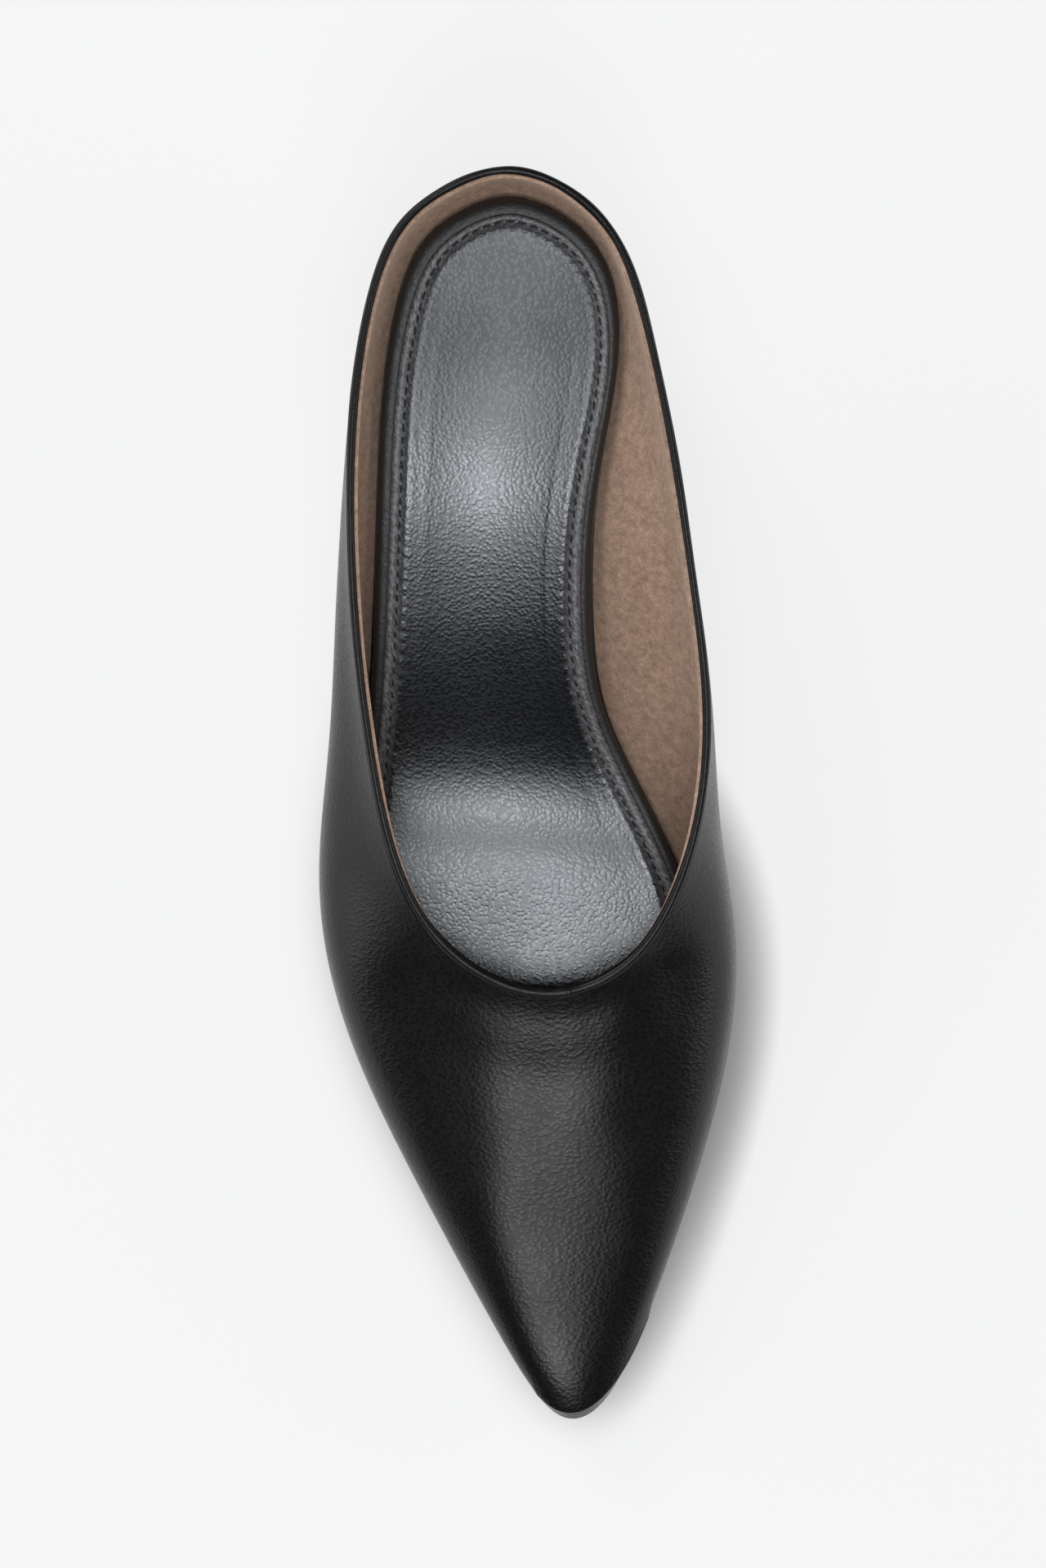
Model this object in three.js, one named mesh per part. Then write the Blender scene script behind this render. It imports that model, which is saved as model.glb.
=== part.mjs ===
// A pointed leather mule with a low closed back, for the right foot, women's EU 37,
// standing on a covered 45 mm kitten heel.
// Units are millimetres. +Z is up, the toe points to -Y and the big-toe side is +X.
// The pieces are the ones a maker joins: upper, insole board, padded sock, outsole, heel, top lift.
import * as THREE from "three";
import { mergeVertices } from "three/addons/utils/BufferGeometryUtils.js";

// Driving dimensions
const HEEL_BACK_Y = 125.8; // back of the topline, in the last's own frame
const TREAD = 3.3; // underside of the insole above the floor, at the ball
const GAP = 0.3; // between two pieces that touch
const UPPER_WALL = 2.2; // outer leather and suede lining together
const INSOLE_THICK = 2;
const SOCK_THICK = 3.6;
const SOLE_THICK = TREAD - GAP;
const WAIST_THICK = 2.2; // the outsole is skived thinner behind the tread
const TOP_LIFT = 4.5;

const FORWARD = new THREE.Vector2(0, -1);

// The last's bottom, in side view: how far the insole's underside lies above the tread,
// by the distance forward of the heel's back.
const BOTTOM = [
  { from_back: 0, lift: 41.4 },
  { from_back: 20, lift: 39.2 },
  { from_back: 45, lift: 35.2 },
  { from_back: 65, lift: 29.6 },
  { from_back: 85, lift: 20.7 },
  { from_back: 100, lift: 12.6 },
  { from_back: 112, lift: 6.2 },
  { from_back: 124, lift: 1.7 },
  { from_back: 138, lift: 0 },
  { from_back: 174, lift: 0 },
  { from_back: 205, lift: 2.2 },
  { from_back: 230, lift: 4.9 },
  { from_back: 253, lift: 8.2 },
];

// The upper, one row for each rib, from the heel's back round the big-toe side to the tip
// and home along the little-toe side. A rib climbs from the sole's edge to the widest point
// (wide) and on to the topline (top).
// - wide_x, wide_y: the shoe's outline seen from above
// - rise: height of that widest point over the sole's edge
// - under: how far the sole's edge lies inside the outline
// - flare: angle of the wall as it leaves the sole, from level
// - top_x, top_y, top_z: the topline
// - slope: fall of the surface at the topline, from level, going away from the opening
// - shoulder: how squarely the wall turns over, as a share of the height left
const RIBS = [
  { at: "heel back", wide_x: -3.4, wide_y: 125.9, rise: 13.0, under: 2.0, flare: 58, top_x: -3.4, top_y: 125.8, top_z: 61.0, slope: 92, shoulder: 0.35 },
  { at: "heel corner, inner", wide_x: 10.1, wide_y: 120.7, rise: 13.0, under: 1.6, flare: 62, top_x: 10.1, top_y: 120.6, top_z: 61.0, slope: 92, shoulder: 0.35 },
  { at: "heel side, inner", wide_x: 19.5, wide_y: 109.2, rise: 13.5, under: 1.4, flare: 66, top_x: 19.6, top_y: 109.1, top_z: 60.8, slope: 92, shoulder: 0.35 },
  { at: "seat, inner", wide_x: 25.0, wide_y: 91.0, rise: 16.0, under: 4.6, flare: 56, top_x: 25.2, top_y: 91.0, top_z: 60.3, slope: 95, shoulder: 0.35 },
  { at: "breast, inner", wide_x: 29.7, wide_y: 68.0, rise: 20.0, under: 13.4, flare: 46, top_x: 29.9, top_y: 68.0, top_z: 59.3, slope: 98, shoulder: 0.35 },
  { at: "arch, inner", wide_x: 33.8, wide_y: 44.0, rise: 24.0, under: 18.8, flare: 42, top_x: 33.5, top_y: 44.0, top_z: 57.0, slope: 98, shoulder: 0.35 },
  { at: "waist, inner", wide_x: 37.2, wide_y: 20.0, rise: 26.0, under: 18.4, flare: 44, top_x: 36.2, top_y: 19.5, top_z: 52.8, slope: 88, shoulder: 0.4 },
  { at: "behind the ball, inner", wide_x: 39.4, wide_y: -5.0, rise: 19.0, under: 8.4, flare: 52, top_x: 33.8, top_y: -4.5, top_z: 47.0, slope: 66, shoulder: 0.45 },
  { at: "ball, inner", wide_x: 42.9, wide_y: -31.0, rise: 15.0, under: 4.4, flare: 58, top_x: 26.4, top_y: -22.9, top_z: 42.6, slope: 42, shoulder: 0.46 },
  { at: "toes, inner", wide_x: 39.2, wide_y: -60.0, rise: 11.5, under: 4.0, flare: 58, top_x: 18.2, top_y: -31.8, top_z: 41.4, slope: 28, shoulder: 0.42 },
  { at: "point, inner", wide_x: 30.4, wide_y: -89.6, rise: 7.5, under: 3.4, flare: 56, top_x: 11.2, top_y: -35.2, top_z: 41.0, slope: 22, shoulder: 0.34 },
  { at: "tip corner, inner", wide_x: 21.4, wide_y: -113.2, rise: 5.4, under: 2.8, flare: 54, top_x: 6.4, top_y: -36.2, top_z: 41.0, slope: 20, shoulder: 0.28 },
  { at: "tip", wide_x: 12.2, wide_y: -124.6, rise: 4.8, under: 2.4, flare: 52, top_x: 2.4, top_y: -36.2, top_z: 41.0, slope: 20, shoulder: 0.28 },
  { at: "tip corner, outer", wide_x: 2.0, wide_y: -120.8, rise: 5.2, under: 2.8, flare: 54, top_x: -1.4, top_y: -35.6, top_z: 41.0, slope: 20, shoulder: 0.28 },
  { at: "point, outer", wide_x: -11.0, wide_y: -99.0, rise: 7.5, under: 3.4, flare: 56, top_x: -5.8, top_y: -34.1, top_z: 41.0, slope: 22, shoulder: 0.34 },
  { at: "toes, outer", wide_x: -25.7, wide_y: -71.0, rise: 11.0, under: 4.0, flare: 58, top_x: -12.4, top_y: -30.4, top_z: 41.2, slope: 28, shoulder: 0.42 },
  { at: "ball, outer", wide_x: -37.6, wide_y: -43.5, rise: 14.0, under: 4.4, flare: 58, top_x: -20.8, top_y: -21.9, top_z: 42.2, slope: 40, shoulder: 0.46 },
  { at: "behind the ball, outer", wide_x: -42.5, wide_y: -15.5, rise: 16.0, under: 4.4, flare: 60, top_x: -27.6, top_y: -6.9, top_z: 44.8, slope: 58, shoulder: 0.46 },
  { at: "waist, outer", wide_x: -40.2, wide_y: 12.0, rise: 19.0, under: 4.6, flare: 62, top_x: -31.8, top_y: 13.5, top_z: 49.4, slope: 72, shoulder: 0.45 },
  { at: "arch, outer", wide_x: -38.4, wide_y: 37.5, rise: 17.0, under: 4.8, flare: 62, top_x: -34.5, top_y: 37.0, top_z: 54.8, slope: 78, shoulder: 0.45 },
  { at: "breast, outer", wide_x: -36.7, wide_y: 62.0, rise: 14.0, under: 4.2, flare: 60, top_x: -35.4, top_y: 62.0, top_z: 58.6, slope: 86, shoulder: 0.4 },
  { at: "seat, outer", wide_x: -34.2, wide_y: 86.0, rise: 13.0, under: 3.2, flare: 58, top_x: -34.0, top_y: 86.0, top_z: 60.1, slope: 91, shoulder: 0.35 },
  { at: "heel side, outer", wide_x: -28.1, wide_y: 110.0, rise: 13.0, under: 2.6, flare: 58, top_x: -28.1, top_y: 109.9, top_z: 60.8, slope: 92, shoulder: 0.35 },
  { at: "heel corner, outer", wide_x: -17.0, wide_y: 121.7, rise: 13.0, under: 2.2, flare: 58, top_x: -17.0, top_y: 121.6, top_z: 61.0, slope: 92, shoulder: 0.35 },
];
const TOPLINE_REACH = 0.5; // share of a rib's last span that keeps the topline's slope
const WALL_REACH = 0.4; // the same for the low part of the wall, below the widest point

// How finely the faceted solids are cut
const ROUND_STEPS = 128; // ribs round the upper, closer together at the tip and heel
const RIB_STEPS = 14; // rings from the sole's edge to the topline
const SLAB_STEPS = 48; // stations along the sole, insole and sock

// ---- Curves ----

// A smooth closed curve through equally numbered values (a periodic cubic spline).
function loopSpline(values) {
  const n = values.length;
  const at = (list, i) => list[(i + n) % n];
  const bend = values.map(() => 0);
  for (let pass = 0; pass < 60; pass++)
    for (let i = 0; i < n; i++) {
      const turn = at(values, i - 1) - 2 * values[i] + at(values, i + 1);
      bend[i] = (6 * turn - at(bend, i - 1) - at(bend, i + 1)) / 4;
    }
  return (s) => {
    const i = Math.floor(s);
    const u = s - i;
    const v = 1 - u;
    const cubic = (v ** 3 - v) * at(bend, i % n) + (u ** 3 - u) * at(bend, (i + 1) % n);
    return v * at(values, i % n) + u * at(values, (i + 1) % n) + cubic / 6;
  };
}

// A curve through a table's rows that never overshoots, so level stretches stay level.
function levelSpline(rows, across, up) {
  const x = rows.map((row) => row[across]);
  const y = rows.map((row) => row[up]);
  const rise = x.slice(1).map((_, i) => (y[i + 1] - y[i]) / (x[i + 1] - x[i]));
  const slope = x.map((_, i) => {
    const before = rise[i - 1];
    const after = rise[i];
    if (before === undefined) return after;
    if (after === undefined) return before;
    return before * after <= 0 ? 0 : (2 * before * after) / (before + after);
  });
  return (at) => {
    let i = x.findIndex((edge) => edge > at) - 1;
    if (i < 0) i = at < x[0] ? 0 : x.length - 2;
    const width = x[i + 1] - x[i];
    const u = (at - x[i]) / width;
    const v = 1 - u;
    return (
      y[i] * v * v * (1 + 2 * u) +
      y[i + 1] * u * u * (1 + 2 * v) +
      width * u * v * (slope[i] * v - slope[i + 1] * u)
    );
  };
}

const lift = levelSpline(BOTTOM, "from_back", "lift");
// Height of the insole's underside, and of the upper's lower edge, at a station y.
const bottomAt = (y) => TREAD + lift(HEEL_BACK_Y - y);

// ---- The last, as ribs ----

const rib = {};
for (const column of Object.keys(RIBS[0]).filter((name) => name !== "at"))
  rib[column] = loopSpline(RIBS.map((row) => row[column]));

// Unit vector that points out of a closed plan curve, at s.
function outwardOf(x, y, s) {
  const step = 0.02;
  const n = RIBS.length;
  const before = (s - step + n) % n;
  const after = (s + step) % n;
  return new THREE.Vector2(y(before) - y(after), x(after) - x(before)).normalize();
}

const wideAt = (s) => new THREE.Vector2(rib.wide_x(s), rib.wide_y(s));

// The sole's edge under rib s, in plan, moved outward by a margin.
function edgeAt(s, margin = 0) {
  const outward = outwardOf(rib.wide_x, rib.wide_y, s);
  return wideAt(s).addScaledVector(outward, margin - rib.under(s));
}

// One rib as a closely spaced line of points, from the sole's edge to the topline.
function ribLine(s) {
  const outward = outwardOf(rib.wide_x, rib.wide_y, s);
  const foot = edgeAt(s);
  const low = new THREE.Vector3(foot.x, foot.y, bottomAt(foot.y));
  const wide = new THREE.Vector3(rib.wide_x(s), rib.wide_y(s), low.z + rib.rise(s));
  const top = new THREE.Vector3(rib.top_x(s), rib.top_y(s), rib.top_z(s));

  const flare = THREE.MathUtils.degToRad(rib.flare(s));
  const wallSpan = WALL_REACH * low.distanceTo(wide);
  const leaving = new THREE.Vector3(
    low.x + wallSpan * Math.cos(flare) * outward.x,
    low.y + wallSpan * Math.cos(flare) * outward.y,
    low.z + wallSpan * Math.sin(flare),
  );
  const belowWide = wide.clone().setZ(wide.z - wallSpan);
  const wall = new THREE.CubicBezierCurve3(low, leaving, belowWide, wide);

  const away = outwardOf(rib.top_x, rib.top_y, s);
  const slope = THREE.MathUtils.degToRad(rib.slope(s));
  const topSpan = TOPLINE_REACH * wide.distanceTo(top);
  const aboveWide = wide.clone().setZ(wide.z + rib.shoulder(s) * (top.z - wide.z));
  const arriving = new THREE.Vector3(
    top.x + topSpan * Math.cos(slope) * away.x,
    top.y + topSpan * Math.cos(slope) * away.y,
    top.z - topSpan * Math.sin(slope),
  );
  const crown = new THREE.CubicBezierCurve3(wide, aboveWide, arriving, top);
  return [...wall.getPoints(24), ...crown.getPoints(72).slice(1)];
}

// The same rib cut into even steps, closer together near the sole on the long ribs of the toe.
function ribPoints(s, steps) {
  const line = ribLine(s);
  const reached = [0];
  for (let i = 1; i < line.length; i++)
    reached.push(reached[i - 1] + line[i].distanceTo(line[i - 1]));
  const length = reached.at(-1);
  const crowding = 1 + 0.6 * THREE.MathUtils.smoothstep(length, 25, 90);
  return Array.from({ length: steps + 1 }, (_, k) => {
    const goal = length * (k / steps) ** crowding;
    let i = reached.findIndex((d) => d >= goal - 1e-9);
    i = Math.max(1, i);
    const u = (goal - reached[i - 1]) / (reached[i] - reached[i - 1]);
    return line[i - 1].clone().lerp(line[i], u);
  });
}

// ---- Meshes ----

// A closed geometry from rings of points (every ring the same length), its faces pointing out.
// The last ring joins the first when closed is true; otherwise both ends are capped flat.
function skin(rings) {
  const columns = rings[0].length;
  const positions = rings.flat().flatMap((p) => [p.x, p.y, p.z]);
  const index = [];
  const n = rings.length;
  for (let r = 0; r < n; r++)
    for (let c = 0; c < columns; c++) {
      const a = r * columns + c;
      const b = r * columns + ((c + 1) % columns);
      const d = ((r + 1) % n) * columns + c;
      const e = ((r + 1) % n) * columns + ((c + 1) % columns);
      index.push(a, b, e, a, e, d);
    }
  return closed(positions, index);
}

function closed(positions, index) {
  const geometry = new THREE.BufferGeometry();
  geometry.setAttribute("position", new THREE.Float32BufferAttribute(positions, 3));
  geometry.setIndex(index);
  const merged = mergeVertices(geometry, 1e-4);
  merged.computeVertexNormals();
  return merged;
}

// The place on the loop of rows for a share of the way round, drawn towards both ends of the shoe.
const ENDS_PULL = 0.35;
const roundTo = (share) =>
  RIBS.length * (share - (ENDS_PULL / (4 * Math.PI)) * Math.sin(4 * Math.PI * share));

// ---- Upper ----
// One shell of leather and lining, open at the collar and underneath. Its rings run
// up the outside, over the topline and down the inside.
function makeUpper() {
  const outside = [];
  for (let i = 0; i < ROUND_STEPS; i++) outside.push(ribPoints(roundTo(i / ROUND_STEPS), RIB_STEPS));

  const inside = outside.map((line, i) => {
    const left = outside[(i + 1) % ROUND_STEPS];
    const right = outside[(i + ROUND_STEPS - 1) % ROUND_STEPS];
    return line.map((point, k) => {
      const up = line[Math.min(k + 1, RIB_STEPS)].clone().sub(line[Math.max(k - 1, 0)]);
      const round = left[k].clone().sub(right[k]);
      const inward = round.cross(up).normalize();
      if (k === 0) inward.setZ(0).normalize();
      return point.clone().addScaledVector(inward, UPPER_WALL);
    });
  });
  const rings = outside.map((line, i) => [...line, ...inside[i].toReversed()]);
  return skin(rings);
}

// ---- Slabs that follow the last's bottom ----

// A closed plan outline of the sole's edge, moved outward by a margin.
function outline(margin) {
  const steps = 720;
  return Array.from({ length: steps }, (_, i) => edgeAt((i * RIBS.length) / steps, margin));
}

// The two edges of an outline at station y: [little-toe side, big-toe side].
function edgesAt(loop, y) {
  const hits = [];
  loop.forEach((p, i) => {
    const q = loop[(i + 1) % loop.length];
    if (p.y > y === q.y > y) return;
    hits.push(p.x + ((q.x - p.x) * (y - p.y)) / (q.y - p.y));
  });
  return [Math.min(...hits), Math.max(...hits)];
}

// A slab between two heights, each a function of station y and of the share across the
// width (0 and 1 at its edges). The stations close up towards its rounded ends.
function makeSlab(loop, underside, topside, columns = 2) {
  const back = Math.max(...loop.map((p) => p.y));
  const front = Math.min(...loop.map((p) => p.y));
  const sections = [];
  for (let j = 0; j <= SLAB_STEPS; j++) {
    const along = (1 - Math.cos((Math.PI * (j + 0.35)) / (SLAB_STEPS + 0.7))) / 2;
    const y = THREE.MathUtils.lerp(back, front, along);
    const [outer, inner] = edgesAt(loop, y);
    const row = (height) =>
      Array.from({ length: columns + 1 }, (_, c) => {
        const share = c / columns;
        return new THREE.Vector3(THREE.MathUtils.lerp(outer, inner, share), y, height(y, share));
      });
    sections.push([...row(topside), ...row(underside).toReversed()]);
  }
  return capped(sections);
}

// A tube of sections with a flat cap at each end. A section lists its top row, then its bottom row.
function capped(sections) {
  const columns = sections[0].length;
  const positions = sections.flat().flatMap((p) => [p.x, p.y, p.z]);
  const index = [];
  for (let r = 0; r + 1 < sections.length; r++)
    for (let c = 0; c < columns; c++) {
      const a = r * columns + c;
      const b = r * columns + ((c + 1) % columns);
      index.push(a, a + columns, b + columns, a, b + columns, b);
    }
  const half = columns / 2;
  const last = (sections.length - 1) * columns;
  for (let c = 0; c + 1 < half; c++) {
    const a = c;
    const b = c + 1;
    const under = columns - 1 - c;
    index.push(a, b, under, b, under - 1, under);
    index.push(last + a, last + under, last + b, last + b, last + under, last + under - 1);
  }
  return closed(positions, index);
}

// ---- Insole board and padded sock ----
// Both fit inside the upper's walls.
const insideUpper = outline(-UPPER_WALL - GAP);

function makeInsole() {
  return makeSlab(insideUpper, bottomAt, (y) => bottomAt(y) + INSOLE_THICK);
}

const SOCK_DISH = 0.9; // how far the padding dips between the stitched edges
function makeSock() {
  const under = (y) => bottomAt(y) + INSOLE_THICK + GAP;
  const top = (y, share) => under(y) + SOCK_THICK - SOCK_DISH * Math.sin(Math.PI * share);
  return makeSlab(insideUpper, under, top, 6);
}

// ---- Outsole ----
// It stands proud of the upper round the forepart and is flush from the waist back.
const SOLE_PROUD = 0.7;
const soleTop = (y) => bottomAt(y) - GAP;
// Full thickness under the tread and toe, thinner through the waist and under the seat.
const soleThick = (y) =>
  THREE.MathUtils.lerp(SOLE_THICK, WAIST_THICK, THREE.MathUtils.smoothstep(y, -8, 30));

function makeOutsole() {
  const steps = 720;
  const loop = Array.from({ length: steps }, (_, i) => {
    const s = (i * RIBS.length) / steps;
    const proud = SOLE_PROUD * (1 - THREE.MathUtils.smoothstep(edgeAt(s).y, -20, 40));
    return edgeAt(s, proud);
  });
  return makeSlab(loop, (y) => soleTop(y) - soleThick(y), soleTop);
}

// ---- Heel ----
// A kitten heel: its top takes the seat's outline, its back curves in and it narrows
// to a small D-shaped foot.
const BREAST_Y = 76; // front face of the heel at the seat
const HEEL_FOOT = { x: -4.2, back_y: 111.5, front_y: 94.5, half_width: 8.6 };
const HEEL_RINGS = 14;
const HEEL_ROUND = 16; // steps round the heel's back, and half as many across its front

// A point of the seat's outline, inset a little from the outsole's edge.
const SEAT_INSET = 0.6;
const seat = outline(-SEAT_INSET);

// The D of the heel's section at the seat, then of its foot, point by point.
function heelSection(count, share) {
  const ring = [];
  const back = Math.max(...seat.map((p) => p.y));
  const [outer, inner] = edgesAt(seat, BREAST_Y);
  const middle = (outer + inner) / 2;
  for (let i = 0; i <= count; i++) {
    const turn = (Math.PI * i) / count;
    // From the breast's inner corner round the back to its outer corner
    const y = BREAST_Y + (back - BREAST_Y - 0.02) * Math.sin(turn) ** 0.8;
    const [left, right] = edgesAt(seat, y);
    const seatX = i * 2 === count ? (left + right) / 2 : turn < Math.PI / 2 ? right : left;
    const foot = HEEL_FOOT;
    const footX = foot.x + foot.half_width * Math.cos(turn);
    const footY = foot.front_y + (foot.back_y - foot.front_y) * Math.sin(turn) ** 0.8;
    ring.push([seatX, y, footX, footY]);
  }
  const front = count / 2;
  for (let i = 1; i < front; i++) {
    const u = i / front;
    const bow = 1.6 * Math.sin(Math.PI * u);
    ring.push([
      THREE.MathUtils.lerp(outer, inner, u),
      BREAST_Y + bow * 2.5,
      THREE.MathUtils.lerp(HEEL_FOOT.x - HEEL_FOOT.half_width, HEEL_FOOT.x + HEEL_FOOT.half_width, u),
      HEEL_FOOT.front_y + bow * 0.4,
    ]);
  }
  const narrowing = share ** 2.1;
  return ring.map(([seatX, seatY, footX, footY]) => {
    const seatZ = soleTop(seatY) - soleThick(seatY) - GAP;
    const z = THREE.MathUtils.lerp(TOP_LIFT + GAP, seatZ, share);
    const x = THREE.MathUtils.lerp(footX, seatX, narrowing);
    const y = THREE.MathUtils.lerp(footY, seatY, narrowing);
    return new THREE.Vector3(x, y, z);
  });
}

// Stacks rings of points into a closed solid with a fanned cap at both ends.
function stacked(rings) {
  const columns = rings[0].length;
  const positions = rings.flat().flatMap((p) => [p.x, p.y, p.z]);
  const index = [];
  for (let r = 0; r + 1 < rings.length; r++)
    for (let c = 0; c < columns; c++) {
      const a = r * columns + c;
      const b = r * columns + ((c + 1) % columns);
      index.push(a, b, b + columns, a, b + columns, a + columns);
    }
  const cap = (ring, start, up) => {
    const flat = ring.map((p) => new THREE.Vector2(p.x, p.y));
    for (const [a, b, c] of THREE.ShapeUtils.triangulateShape(flat, []))
      index.push(...(up ? [start + a, start + b, start + c] : [start + a, start + c, start + b]));
  };
  cap(rings[0], 0, false);
  cap(rings.at(-1), (rings.length - 1) * columns, true);
  return closed(positions, index);
}

function makeHeel() {
  const rings = [];
  for (let r = 0; r <= HEEL_RINGS; r++) rings.push(heelSection(HEEL_ROUND, r / HEEL_RINGS));
  return stacked(rings);
}

// ---- Top lift ----
// The wearing piece, a little larger than the heel's foot so that it guards its cover.
const LIFT_PROUD = 1.03;
function makeTopLift() {
  const foot = heelSection(HEEL_ROUND, 0);
  const centre = new THREE.Vector3(HEEL_FOOT.x, (HEEL_FOOT.back_y + HEEL_FOOT.front_y) / 2, 0);
  const ringAt = (z) =>
    foot.map((p) => p.clone().sub(centre).multiplyScalar(LIFT_PROUD).add(centre).setZ(z));
  return stacked([ringAt(0), ringAt(TOP_LIFT)]);
}

// ---- The shoe ----

const leather = { color: 0x17181a, roughness: 0.42, metalness: 0 };
const PIECES = [
  { name: "upper", make: makeUpper, finish: leather },
  { name: "insole", make: makeInsole, finish: { color: 0x2a2522, roughness: 0.9, metalness: 0 } },
  { name: "sock", make: makeSock, finish: { color: 0x1b1c1f, roughness: 0.3, metalness: 0 } },
  { name: "outsole", make: makeOutsole, finish: { color: 0x141414, roughness: 0.5, metalness: 0 } },
  { name: "heel", make: makeHeel, finish: leather },
  { name: "top_lift", make: makeTopLift, finish: { color: 0x101010, roughness: 0.7, metalness: 0 } },
];

const shoe = new THREE.Group();
for (const { name, make, finish } of PIECES) {
  const piece = new THREE.Mesh(make(), new THREE.MeshStandardMaterial(finish));
  piece.name = name;
  shoe.add(piece);
}

// The origin is the middle of the shoe's footprint, on the floor.
const box = new THREE.Box3().setFromObject(shoe);
shoe.position.set(-(box.min.x + box.max.x) / 2, -(box.min.y + box.max.y) / 2, -box.min.z);

export default shoe;
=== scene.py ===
# A pointed black leather mule with a low closed back, for the right foot: suede lining,
# padded and stitched sock, slim covered heel. It stands on a pale floor, seen from above.
import math

import bmesh
import bpy
import numpy as np
from mathutils import Matrix, Vector
from mathutils.bvhtree import BVHTree
from mathutils.kdtree import KDTree


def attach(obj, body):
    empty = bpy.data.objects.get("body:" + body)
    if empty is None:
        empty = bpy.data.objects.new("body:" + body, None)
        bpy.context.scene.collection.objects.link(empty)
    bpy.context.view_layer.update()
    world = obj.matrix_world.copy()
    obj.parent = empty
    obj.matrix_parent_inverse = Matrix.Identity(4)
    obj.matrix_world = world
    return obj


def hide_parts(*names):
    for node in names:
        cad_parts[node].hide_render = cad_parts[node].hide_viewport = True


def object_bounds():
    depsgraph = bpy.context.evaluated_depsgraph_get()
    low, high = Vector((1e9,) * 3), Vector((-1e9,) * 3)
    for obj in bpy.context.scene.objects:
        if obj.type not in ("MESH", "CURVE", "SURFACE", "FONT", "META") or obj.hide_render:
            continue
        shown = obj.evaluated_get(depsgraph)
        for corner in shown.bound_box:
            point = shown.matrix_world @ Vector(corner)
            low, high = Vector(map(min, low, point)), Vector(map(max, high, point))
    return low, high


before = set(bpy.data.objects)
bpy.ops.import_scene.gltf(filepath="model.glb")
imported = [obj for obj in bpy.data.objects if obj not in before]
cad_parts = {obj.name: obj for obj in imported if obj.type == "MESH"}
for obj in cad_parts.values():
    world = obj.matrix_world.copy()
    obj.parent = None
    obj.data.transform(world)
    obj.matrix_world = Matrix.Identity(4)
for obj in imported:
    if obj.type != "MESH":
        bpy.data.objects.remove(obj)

MM = 0.001
scene = bpy.context.scene
cad_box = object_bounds()

# ---------------------------------------------------------------------------
# The camera hangs about a metre over the shoe and looks straight down, a touch
# towards the heel and the little-toe side.
# ---------------------------------------------------------------------------
shoe_low, shoe_high = (Vector(corner) for corner in cad_box)
shoe_middle = (shoe_low + shoe_high) / 2
CAMERA_HEIGHT = 1.08
CAMERA_OFF = Vector((-0.0010, 0.0044))
CAMERA_SENSOR = 36
CAMERA_LENS = 119.5

camera_lens = bpy.data.cameras.new("camera")
camera_lens.sensor_width = CAMERA_SENSOR
camera_lens.lens = CAMERA_LENS
camera = bpy.data.objects.new("camera", camera_lens)
camera.location = (
    shoe_middle.x + CAMERA_OFF.x,
    shoe_middle.y + CAMERA_OFF.y,
    CAMERA_HEIGHT,
)
scene.collection.objects.link(camera)
scene.camera = camera

# ---------------------------------------------------------------------------
# The room: a white sweep for a floor, one big soft box overhead that leans to
# the toe, two small hot panels in it, a low white card on either side, dim walls.
# ---------------------------------------------------------------------------
ROOM_GREY = 0.05
FLOOR_WHITE = (0.18, 0.182, 0.181, 1)
FLOOR_GLOW = (0.765, 0.774, 0.770, 1)  # the sweep's own brightness, lit from all round
SHADE_REACH = 0.015  # how far the soft shade beside the toe runs out on the floor
SHADE_DARKEST = 0.22
# Each: x and y from the shoe's middle, height, width, depth, and how bright its face is.
LAMPS = {
    "soft_box": (0.0, -0.69, 1.75, 1.05, 1.50, 2.35),
    "hot_panel_toe": (0.0, -0.93, 1.70, 0.36, 0.46, 6.5),
    "hot_panel_top": (0.0, -0.14, 1.74, 0.50, 0.34, 5.2),
    "card_little_toe": (-1.6, 0.1, 0.55, 1.6, 0.8, 2.6),
    "card_big_toe": (1.6, 0.1, 0.55, 1.6, 0.8, 2.1),
    "card_behind": (-0.85, 1.15, 1.25, 0.55, 0.55, 9.0),
}

FLOOR_SIDE = 6
LIT_SIDE = (-0.48, 0.36, 0.80)  # the way to the light that the shade falls away from


def add_node(tree, kind, inputs=None, **settings):
    """A new node with its settings, and its inputs given as values or as sockets to join."""
    new = tree.nodes.new(kind)
    for setting, value in settings.items():
        setattr(new, setting, value)
    for name, value in (inputs or {}).items():
        if isinstance(value, bpy.types.NodeSocket):
            tree.links.new(value, new.inputs[name])
        else:
            new.inputs[name].default_value = value
    return new


def ramp(tree, value, low, high, at_low=0.0, at_high=1.0, soft=False):
    """A value's way from low to high, given as a number from at_low to at_high."""
    ends = {"Value": value, "From Min": low, "From Max": high, "To Min": at_low, "To Max": at_high}
    kind = "SMOOTHSTEP" if soft else "LINEAR"
    return add_node(tree, "ShaderNodeMapRange", ends, interpolation_type=kind).outputs["Result"]


bpy.ops.mesh.primitive_plane_add(size=FLOOR_SIDE, location=(0, 0, shoe_low.z))
floor = bpy.context.active_object
floor.name = "floor"
floor_paper = bpy.data.materials.new("floor_paper")
floor_paper.use_nodes = True
tree = floor_paper.node_tree
paper = tree.nodes["Principled BSDF"]
paper.inputs["Base Color"].default_value = FLOOR_WHITE
paper.inputs["Roughness"].default_value = 0.9
paper.inputs["Specular IOR Level"].default_value = 0.1
paper.inputs["Emission Color"].default_value = FLOOR_GLOW
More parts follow.
